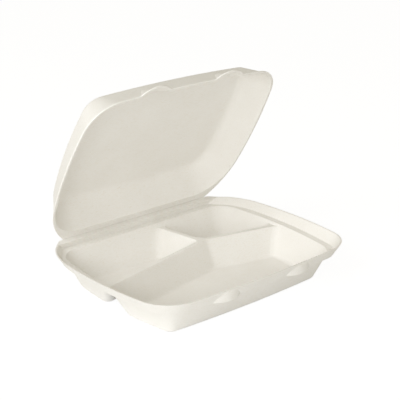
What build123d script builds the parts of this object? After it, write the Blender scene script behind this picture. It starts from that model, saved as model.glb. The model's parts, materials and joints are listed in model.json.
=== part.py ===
from build123d import *
from math import cos, radians, tan
import os

# Moulded fibre meal box: a three-well tray and a hinged lid pressed as one sheet.
# X runs along the crease, Y towards the back, Z up; the origin is the middle of the tray's underside.

# Sheet
wall = 1.1

# Tray rim, seen from above and measured from the crease
width = 240.0
depth = 184.0
tray_height = 38.0
side_bow = 400.0
front_bow = 1290.0
side_middle = 92.0
front_corner = 33.0
tray_back_corner = 65.0
tray_back_reach = 11.0

# Sloping band inside the tray's rim and the ledge at its foot, which falls towards the front
band_draft = 32.0
ledge_drop = 6.5
ledge_fall = 1.25
ledge_side = 4.0
ledge_front = 2.4
band_block = 19.0

# Flat land each side of the crease
land = 8.0
land_fall = 4.0

# Wells
well_draft = 27.0
well_corner = 26.0
floor_round = 4.0
wall_round = 7.0
spare = 1.0

# Dividers: two arms that meet in a bend, and a stem from beside the bend to the back
crest_height = 27.0
crest_width = 4.6
divider_draft = 26.0
bend_x = 31.0
bend_depth = 66.0
left_slope = 0.185
right_slope = 0.236
stem_foot = 26.0
stem_back = 17.5
stem_corner = 5.0
bend_corner = 14.0
junction_corner = 18.0

# Lid, measured in its own rim plane
lid_open = 60.0
lid_width = 228.4
lid_depth = 174.4
lid_side_bow = 370.0
lid_height = 27.5
lid_draft = 30.0
lid_lip = 2.0
lid_shoulder = 8.0
lid_back_corner = 81.0
lid_back_reach = 22.5
lid_well_corner = 40.0

# Snap locks: round bumps in the lid's front wall, and round pockets for them in the tray's band
lock_x = 42.5
lock_radius = 21.0
lock_reach = 6.5
lock_draft = 46.0
lock_rise = 16.2
lock_neck = 5.0
pocket_front = 182.9
pocket_radius = 24.5
pocket_draft = 6.0

# Slack at the crease between the two lands
crease_slack = 0.15

well_side = width / 2 - ledge_drop * tan(radians(band_draft)) - ledge_side
well_front = depth - ledge_drop * tan(radians(band_draft)) - ledge_front
hinge_y = depth / 2
crease = (0, hinge_y, tray_height)
rim_plane = Plane(crease)
lid_plane = Plane(crease).rotated((-lid_open, 0, 0))
side_plane = Plane(crease, x_dir=(0, 1, 0), z_dir=(1, 0, 0))

bend = Vector(bend_x, -bend_depth)
left_arm = (bend, bend + Vector(-1, -left_slope) * (well_side + bend_x))
right_arm = (bend, bend + Vector(1, -right_slope) * (well_side - bend_x))
stem = (Vector(stem_foot, -bend_depth), Vector(stem_back, -land))


def turned(line):
    """A line in plan, given by its two ends, run the other way."""
    start, end = line
    return end, start


def direction(line):
    """The unit vector along a line."""
    start, end = line
    return (end - start).normalized()


def beside(line, offset):
    """A line moved to its left side."""
    start, end = line
    along = direction(line)
    across = Vector(-along.Y, along.X) * offset
    return start + across, end + across


def crossing(first, second):
    """Where two lines in plan meet."""
    along = direction(first)
    across = direction(second)
    span = second[0] - first[0]
    reach = (span.X * across.Y - span.Y * across.X) / (along.X * across.Y - along.Y * across.X)
    return first[0] + along * reach


def bowed_outline(half_width, front, back, front_radius, back_radius, bow, grow=0.0):
    """Closed outline with bowed sides and front; front and back are distances from the crease."""
    with Locations((half_width - bow, -side_middle)):
        Circle(bow + grow)
    with Locations((bow - half_width, -side_middle)):
        Circle(bow + grow, mode=Mode.INTERSECT)
    with Locations((0, front_bow - front)):
        Circle(front_bow + grow, mode=Mode.INTERSECT)
    with Locations((0, back + grow)):
        Rectangle(2 * width, 2 * depth, align=(Align.CENTER, Align.MAX), mode=Mode.INTERSECT)
    fillet(vertices().group_by(Axis.Y)[0], front_radius + grow)
    fillet(vertices().group_by(Axis.Y)[-1], back_radius + grow)


def tub(top, bottom, grow):
    """The tub that holds the three wells, between two heights, cut from a slightly taller one."""
    spare_grow = grow / cos(radians(well_draft)) + spare * tan(radians(well_draft))
    with BuildPart() as body:
        with BuildSketch(rim_plane.offset(spare)):
            bowed_outline(well_side, well_front, -land, well_corner, well_corner, side_bow, spare_grow)
        extrude(amount=bottom - tray_height - 2 * spare, taper=well_draft)
        split(bisect_by=Plane.XY.offset(top), keep=Keep.BOTTOM)
        split(bisect_by=Plane.XY.offset(bottom), keep=Keep.TOP)
    return body.part


def well_volume(sides, corner_radius, grow):
    """One well below the crest, to the left of two divider sides: one leaves its corner, the other runs into it."""
    top = crest_height - grow
    draft = radians(divider_draft)
    offset = crest_width / 2 + grow * tan(draft) - grow / cos(draft)
    first, second = [beside(side, offset) for side in sides]
    with BuildPart() as space:
        add(tub(top, wall - grow, grow))
        for side in (first, second):
            along = direction(side)
            inward = Vector(-along.Y, along.X, tan(draft))
            split(bisect_by=Plane((side[0].X, hinge_y + side[0].Y, top), z_dir=inward), keep=Keep.TOP)
        uprights = ((crossing(first, second), corner_radius), (first[1], wall_round), (second[0], wall_round))
        for place, radius in uprights:
            spot = Vector(place.X, hinge_y + place.Y, top)
            upright = edges().filter_by(lambda e: e.bounding_box().size.Z > crest_height / 2)
            fillet(upright.sort_by_distance(spot)[0], radius + grow)
        fillet(edges().group_by(Axis.Z)[0], floor_round + grow)
    return space.part


def tray_volume(grow=0.0):
    """The space inside the tray, or with grow the block that its outer skin fills."""
    band_grow = grow / cos(radians(band_draft))
    back = hinge_y - land + grow / cos(radians(well_draft))
    back_wall = Plane((0, back, tray_height), z_dir=(0, -1, 0)).rotated((well_draft, 0, 0))
    ledge = Plane((0, hinge_y, tray_height - ledge_drop - grow)).rotated((ledge_fall, 0, 0))
    pocket_y = pocket_radius - pocket_front
    with BuildPart() as space:
        with BuildSketch(rim_plane):
            bowed_outline(width / 2, depth, tray_back_reach, front_corner, tray_back_corner, side_bow, band_grow)
        extrude(amount=-band_block, taper=band_draft)
        with BuildSketch(rim_plane):
            with Locations((-lock_x, pocket_y), (lock_x, pocket_y)):
                Circle(pocket_radius + grow)
        extrude(amount=-band_block, taper=pocket_draft)
        split(bisect_by=ledge, keep=Keep.TOP)
        split(bisect_by=back_wall, keep=Keep.TOP)
        add(tub(tray_height, crest_height - grow, grow))
        add(well_volume((left_arm, turned(right_arm)), bend_corner, grow))
        add(well_volume((stem, turned(left_arm)), stem_corner, grow))
        add(well_volume((right_arm, turned(stem)), junction_corner, grow))
    return space.part


def lock_centres():
    """Centres of the two lock bumps in the lid's rim plane."""
    y = lock_radius - lid_depth + lid_lip - lock_reach
    return Locations((-lock_x, y), (lock_x, y))


def lid_volume(grow=0.0):
    """The space inside the lid, or with grow the block that its outer skin fills."""
    wall_grow = grow / cos(radians(lid_draft))
    lock_grow = grow / cos(radians(lock_draft))
    side = lid_width / 2 - lid_lip
    front = lid_depth - lid_lip
    with BuildPart() as space:
        with BuildSketch(lid_plane):
            bowed_outline(side, front, -land, front_corner - lid_lip, lid_well_corner, lid_side_bow, wall_grow)
        extrude(amount=lid_height - wall + grow, taper=lid_draft)
        fillet(edges().group_by(Axis(crease, lid_plane.z_dir))[-1], lid_shoulder + grow)
        with BuildSketch(lid_plane):
            with lock_centres():
                Circle(lock_radius + lock_grow)
        extrude(amount=lock_rise, taper=lock_draft)
    return space.part


with BuildPart() as tray:
    add(tray_volume(wall))
    land_end = -land + wall / 4
    with BuildSketch(side_plane):
        with BuildLine():
            Polyline(
                (land_end, -land * tan(radians(land_fall))),
                (-crease_slack, 0),
                (-crease_slack, -wall),
                (land_end, -land * tan(radians(land_fall)) - wall),
                close=True,
            )
        make_face()
    extrude(amount=width, both=True)
    with BuildSketch(rim_plane.offset(-tray_height)):
        rim_grow = wall / cos(radians(band_draft))
        bowed_outline(
            width / 2, depth + lock_radius, tray_back_reach, front_corner, tray_back_corner, side_bow, rim_grow
        )
    extrude(amount=tray_height, mode=Mode.INTERSECT)
    add(tray_volume(), mode=Mode.SUBTRACT)
    with BuildSketch(side_plane):
        with BuildLine():
            Polyline(
                (-2 * land, 0),
                (-land, -land * tan(radians(land_fall))),
                (0, 0),
                (0, land),
                (-2 * land, land),
                close=True,
            )
        make_face()
    extrude(amount=width, both=True, mode=Mode.SUBTRACT)
tray.part.label = "tray"

with BuildPart() as lid:
    with BuildSketch(lid_plane):
        bowed_outline(lid_width / 2, lid_depth, lid_back_reach, front_corner, lid_back_corner, lid_side_bow)
        with lock_centres():
            Circle(lock_radius + lid_lip)
        necks = vertices().filter_by(lambda v: abs(abs(v.X) - lock_x) < lock_radius and v.Y < -lid_depth / 2)
        fillet(necks, lock_neck)
        with Locations((0, -crease_slack)):
            Rectangle(2 * width, 2 * depth, align=(Align.CENTER, Align.MAX), mode=Mode.INTERSECT)
    extrude(amount=wall)
    add(lid_volume(wall))
    add(lid_volume(), mode=Mode.SUBTRACT)
lid.part.label = "lid"

os.makedirs("parts", exist_ok=True)
export_step(tray.part, "parts/tray.step")
export_step(lid.part, "parts/lid.step")
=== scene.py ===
import json
from math import cos, pi, radians, sin

import bpy
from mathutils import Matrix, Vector


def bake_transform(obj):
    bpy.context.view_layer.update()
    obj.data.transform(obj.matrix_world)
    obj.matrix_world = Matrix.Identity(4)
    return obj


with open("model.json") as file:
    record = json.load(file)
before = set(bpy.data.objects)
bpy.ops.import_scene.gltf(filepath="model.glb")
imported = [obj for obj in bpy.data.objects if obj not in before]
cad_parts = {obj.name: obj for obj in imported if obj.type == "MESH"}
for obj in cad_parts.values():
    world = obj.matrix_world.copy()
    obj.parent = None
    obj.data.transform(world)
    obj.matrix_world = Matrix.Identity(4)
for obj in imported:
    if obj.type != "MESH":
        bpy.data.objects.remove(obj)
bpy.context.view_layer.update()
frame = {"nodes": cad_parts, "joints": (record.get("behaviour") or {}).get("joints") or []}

# Sizes and places in metres; the crease line comes from the hinge in the record
CREASE = Vector(frame["joints"][0]["pos_m"])
SHEET = 0.0011
CREASE_SLACK = 0.00015
CREASE_HALF_LENGTH = 0.0872
LID_OPEN = radians(60)
FOLD_STEPS = 8
SOFT_EDGE = 0.00035
SOFT_EDGE_SEGMENTS = 2
SHARP_ANGLE = radians(40)
FLOOR_REACH = 8.0
FLOOR_LEVEL = -0.0002

# Camera, at the photograph's viewpoint
CAMERA_PLACE = Vector((-0.6420, -0.7343, 0.4412))
CAMERA_TURN = radians(41.239)
CAMERA_DIP = radians(20.234)
CAMERA_LENS_MM = 102.8
CAMERA_SENSOR_MM = 36.0
CAMERA_REACH = 50.0

# Lamps: name, place and power in watts
LAMPS = (
    ("key", Vector((-1.5, -0.1, 1.0)), 12.6),
    ("low side", Vector((-1.15, -1.15, 0.35)), 9.4),
    ("fill", Vector((-1.0, -1.2, 0.9)), 2.3),
)
LAMP_TARGET = Vector((0.0, 0.05, 0.05))
LAMP_SIZE = 1.0
LAMP_COLOUR = (0.955, 0.975, 1.0)
SURROUND_COLOUR = (1.0, 0.945, 0.79, 1.0)
SURROUND_STRENGTH = 0.45
WHITE = (1.0, 1.0, 1.0, 1.0)

# Floor: what it reflects, what the camera sees of the light on it, and its own whiteness to the camera
FLOOR_COLOUR = (0.9, 0.9, 0.9, 1.0)
FLOOR_TRACE = (0.16, 0.16, 0.16, 1.0)
FLOOR_GLOW = 0.91

# Moulded fibre: pattern scales in cycles per metre, and bump depths in metres
CLOUD_SCALE = 34.0
WAVE_SCALE = 48.0
FLECK_SCALE = 900.0
GRAIN_SCALE = 2600.0
FIRST_FIBRE_SCALE = (260.0, 2400.0, 1500.0)
FIRST_FIBRE_TURN = (0.3, 0.2, 0.5)
SECOND_FIBRE_SCALE = (300.0, 2100.0, 1300.0)
SECOND_FIBRE_TURN = (0.2, -0.4, 2.0)
WAVE_DEPTH = 0.0010
FLECK_DEPTH = 0.00016
FIBRE_DEPTH = 0.00012
GRAIN_DEPTH = 0.00006

# Moulded fibre: colours as (position, colour) stops, with the specks and strands multiplied into the tint
NO_CHANGE = (1.0, 1.0, 1.0)
TINT_STOPS = ((0.30, (0.918, 0.902, 0.874)), (0.70, (0.940, 0.926, 0.902)))
SPECK_STOPS = ((0.26, (0.93, 0.91, 0.87)), (0.40, NO_CHANGE))
FIRST_STRAND_STOPS = ((0.30, (0.95, 0.935, 0.905)), (0.44, NO_CHANGE))
SECOND_STRAND_STOPS = ((0.30, (0.955, 0.94, 0.91)), (0.44, NO_CHANGE))
SPECK_SHARE = 0.7
STRAND_SHARE = 0.8
SPECULAR = 0.25
SMOOTHEST = 0.74
ROUGHEST = 0.92


def node(tree, kind, place, **inputs):
    """A shader node with its input sockets set by name."""
    made = tree.nodes.new(kind)
    made.location = place
    for name, value in inputs.items():
        made.inputs[name.replace("_", " ")].default_value = value
    return made


def noise(tree, place, vector, scale, detail, roughness):
    """The value of a noise texture read through a vector socket."""
    made = node(tree, "ShaderNodeTexNoise", place, Scale=scale, Detail=detail, Roughness=roughness)
    tree.links.new(vector, made.inputs["Vector"])
    return made.outputs["Fac"]


def stretched(tree, place, vector, turn, scale):
    """The vector turned and squeezed, so that a noise read through it runs in streaks."""
    made = node(tree, "ShaderNodeMapping", place, Rotation=turn, Scale=scale)
    tree.links.new(vector, made.inputs["Vector"])
    return made.outputs["Vector"]


def ramp(tree, place, value, stops):
    """The colour that a value picks from two stops."""
    made = tree.nodes.new("ShaderNodeValToRGB")
    made.location = place
    for element, (position, colour) in zip(made.color_ramp.elements, stops):
        element.position = position
        element.color = (*colour, 1.0)
    tree.links.new(value, made.inputs["Fac"])
    return made.outputs["Color"]


def times(tree, place, first, second, amount):
    """One colour multiplied into another."""
    made = tree.nodes.new("ShaderNodeMix")
    made.location = place
    made.data_type = "RGBA"
    made.blend_type = "MULTIPLY"
    made.inputs["Factor"].default_value = amount
    tree.links.new(first, made.inputs[6])
    tree.links.new(second, made.inputs[7])
    return made.outputs[2]


def bump(tree, place, height, strength, distance, before=None):
    """A bump from a height socket, laid over the one before it."""
    made = node(tree, "ShaderNodeBump", place, Strength=strength, Distance=distance)
    tree.links.new(height, made.inputs["Height"])
    if before:
        tree.links.new(before, made.inputs["Normal"])
    return made.outputs["Normal"]


def camera_switch(tree, hidden, seen, output):
    """Shows one shader to the camera and the other to the light in the scene."""
    rays = node(tree, "ShaderNodeLightPath", (-200, 500))
    blend = node(tree, "ShaderNodeMixShader", (200, 0))
    tree.links.new(rays.outputs["Is Camera Ray"], blend.inputs[0])
    tree.links.new(hidden.outputs[0], blend.inputs[1])
    tree.links.new(seen.outputs[0], blend.inputs[2])
    tree.links.new(blend.outputs[0], output.inputs["Surface"])


def put_in_scene(name, data):
    """A new object in the scene's collection."""
    made = bpy.data.objects.new(name, data)
    bpy.context.scene.collection.objects.link(made)
    return made


def pulp_material():
    """Off-white moulded fibre: faint clouds of tone, felted short fibres, tiny pits and gentle waves."""
    material = bpy.data.materials.new("pulp")
    material.use_nodes = True
    tree = material.node_tree
    link = tree.links.new
    shader = tree.nodes["Principled BSDF"]
    shader.inputs["Specular IOR Level"].default_value = SPECULAR

    here = node(tree, "ShaderNodeTexCoord", (-1900, 0)).outputs["Object"]
    clouds = noise(tree, (-1200, 500), here, CLOUD_SCALE, 3.0, 0.5)
    flecks = noise(tree, (-1200, 200), here, FLECK_SCALE, 3.0, 0.6)
    waves = noise(tree, (-1200, -700), here, WAVE_SCALE, 1.0, 0.4)
    grain = noise(tree, (-1200, -500), here, GRAIN_SCALE, 2.0, 0.7)
    one_way = stretched(tree, (-1550, -50), here, FIRST_FIBRE_TURN, FIRST_FIBRE_SCALE)
    other_way = stretched(tree, (-1550, -350), here, SECOND_FIBRE_TURN, SECOND_FIBRE_SCALE)
    fibres = noise(tree, (-1200, -50), one_way, 1.0, 2.0, 0.5)
    more_fibres = noise(tree, (-1200, -280), other_way, 1.0, 2.0, 0.5)

    colour = ramp(tree, (-900, 500), clouds, TINT_STOPS)
    specks = ramp(tree, (-900, 200), flecks, SPECK_STOPS)
    strands = ramp(tree, (-900, -50), fibres, FIRST_STRAND_STOPS)
    more_strands = ramp(tree, (-900, -280), more_fibres, SECOND_STRAND_STOPS)
    colour = times(tree, (-600, 400), colour, specks, SPECK_SHARE)
    colour = times(tree, (-450, 300), colour, strands, STRAND_SHARE)
    colour = times(tree, (-300, 200), colour, more_strands, STRAND_SHARE)
    link(colour, shader.inputs["Base Color"])

    rough = node(tree, "ShaderNodeMapRange", (-550, 0), To_Min=SMOOTHEST, To_Max=ROUGHEST)
    link(flecks, rough.inputs["Value"])
    link(rough.outputs["Result"], shader.inputs["Roughness"])

    surface = bump(tree, (-700, -700), waves, 0.2, WAVE_DEPTH)
    surface = bump(tree, (-550, -600), flecks, 0.25, FLECK_DEPTH, surface)
    surface = bump(tree, (-400, -500), fibres, 0.25, FIBRE_DEPTH, surface)
    surface = bump(tree, (-250, -400), more_fibres, 0.25, FIBRE_DEPTH, surface)
    surface = bump(tree, (-100, -300), grain, 0.2, GRAIN_DEPTH, surface)
    link(surface, shader.inputs["Normal"])
    return material


def dress_shells(material):
    """Gives both shells the pulp material and softens their cut edges."""
    for shell in frame["nodes"].values():
        for material_slot in shell.material_slots:
            material_slot.link = "OBJECT"
            material_slot.material = material
        soften = shell.modifiers.new("soft edges", "BEVEL")
        soften.width = SOFT_EDGE
        soften.segments = SOFT_EDGE_SEGMENTS
        soften.limit_method = "ANGLE"
        soften.angle_limit = SHARP_ANGLE


def crease_piece(material):
    """The fold itself: a thin curved sheet from the tray's land round to the lid's."""
    verts = []
    for side in (-CREASE_HALF_LENGTH, CREASE_HALF_LENGTH):
        for step in range(FOLD_STEPS + 1):
            turn = -pi / 2 + (pi - LID_OPEN) * step / FOLD_STEPS
            for radius in (CREASE_SLACK, SHEET):
                verts.append(CREASE + Vector((side, radius * cos(turn), radius * sin(turn))))
    faces = []
    row = 2 * (FOLD_STEPS + 1)
    for a in range(0, row - 2, 2):
        faces.append((a, a + 2, row + a + 2, row + a))
        faces.append((a + 1, row + a + 1, row + a + 3, a + 3))
        faces.append((a, a + 1, a + 3, a + 2))
        faces.append((row + a, row + a + 2, row + a + 3, row + a + 1))
    faces.append((0, row, row + 1, 1))
    faces.append((row - 2, row - 1, 2 * row - 1, 2 * row - 2))
    mesh = bpy.data.meshes.new("crease")
    mesh.from_pydata([tuple(v) for v in verts], [], faces)
    mesh.materials.append(material)
    mesh.shade_smooth()
    piece = put_in_scene("crease", mesh)
    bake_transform(piece)


def studio_floor():
    """A plain white floor, just clear of the tray's underside, that takes a faint shadow."""
    mesh = bpy.data.meshes.new("floor")
    signs = ((-1, -1), (1, -1), (1, 1), (-1, 1))
    corners = [(x * FLOOR_REACH, y * FLOOR_REACH, FLOOR_LEVEL) for x, y in signs]
    mesh.from_pydata(corners, [], [(0, 1, 2, 3)])
    material = bpy.data.materials.new("floor")
    material.use_nodes = True
    tree = material.node_tree
    tree.nodes.clear()
    output = node(tree, "ShaderNodeOutputMaterial", (400, 0))
    matt = node(tree, "ShaderNodeBsdfDiffuse", (-200, -150), Color=FLOOR_COLOUR)
    trace = node(tree, "ShaderNodeBsdfDiffuse", (-200, 0), Color=FLOOR_TRACE)
    glow = node(tree, "ShaderNodeEmission", (-200, 150), Color=WHITE, Strength=FLOOR_GLOW)
    lit = node(tree, "ShaderNodeAddShader", (0, 100))
    tree.links.new(trace.outputs[0], lit.inputs[0])
    tree.links.new(glow.outputs[0], lit.inputs[1])
    camera_switch(tree, matt, lit, output)
    mesh.materials.append(material)
    put_in_scene("floor", mesh)


def softbox(name, place, power):
    """A square area lamp that looks at the box."""
    lamp = bpy.data.lights.new(name, "AREA")
    lamp.shape = "SQUARE"
    lamp.size = LAMP_SIZE
    lamp.color = LAMP_COLOUR
    lamp.energy = power
    holder = put_in_scene(name, lamp)
    holder.location = place
    holder.rotation_euler = (LAMP_TARGET - place).to_track_quat("-Z", "Y").to_euler()


def studio_lights():
    """Soft light from the left and the front left, over an even, faintly warm surround."""
    for name, place, power in LAMPS:
        softbox(name, place, power)
    world = bpy.data.worlds.new("studio")
    bpy.context.scene.world = world
    world.use_nodes = True
    tree = world.node_tree
    tree.nodes.clear()
    output = node(tree, "ShaderNodeOutputWorld", (400, 0))
    light = node(tree, "ShaderNodeBackground", (-200, -100), Color=SURROUND_COLOUR, Strength=SURROUND_STRENGTH)
    white = node(tree, "ShaderNodeBackground", (-200, 100), Color=WHITE, Strength=1.0)
    camera_switch(tree, light, white, output)


def photo_camera():
    """A camera at the photograph's viewpoint."""
    data = bpy.data.cameras.new("camera")
    data.sensor_width = CAMERA_SENSOR_MM
    data.lens = CAMERA_LENS_MM
    data.clip_end = CAMERA_REACH
    camera = put_in_scene("camera", data)
    camera.location = CAMERA_PLACE
    camera.rotation_euler = (pi / 2 - CAMERA_DIP, 0, -CAMERA_TURN)
    bpy.context.scene.camera = camera


photo_camera()
studio_floor()
studio_lights()
pulp = pulp_material()
dress_shells(pulp)
crease_piece(pulp)
bpy.context.scene.view_settings.view_transform = "Standard"
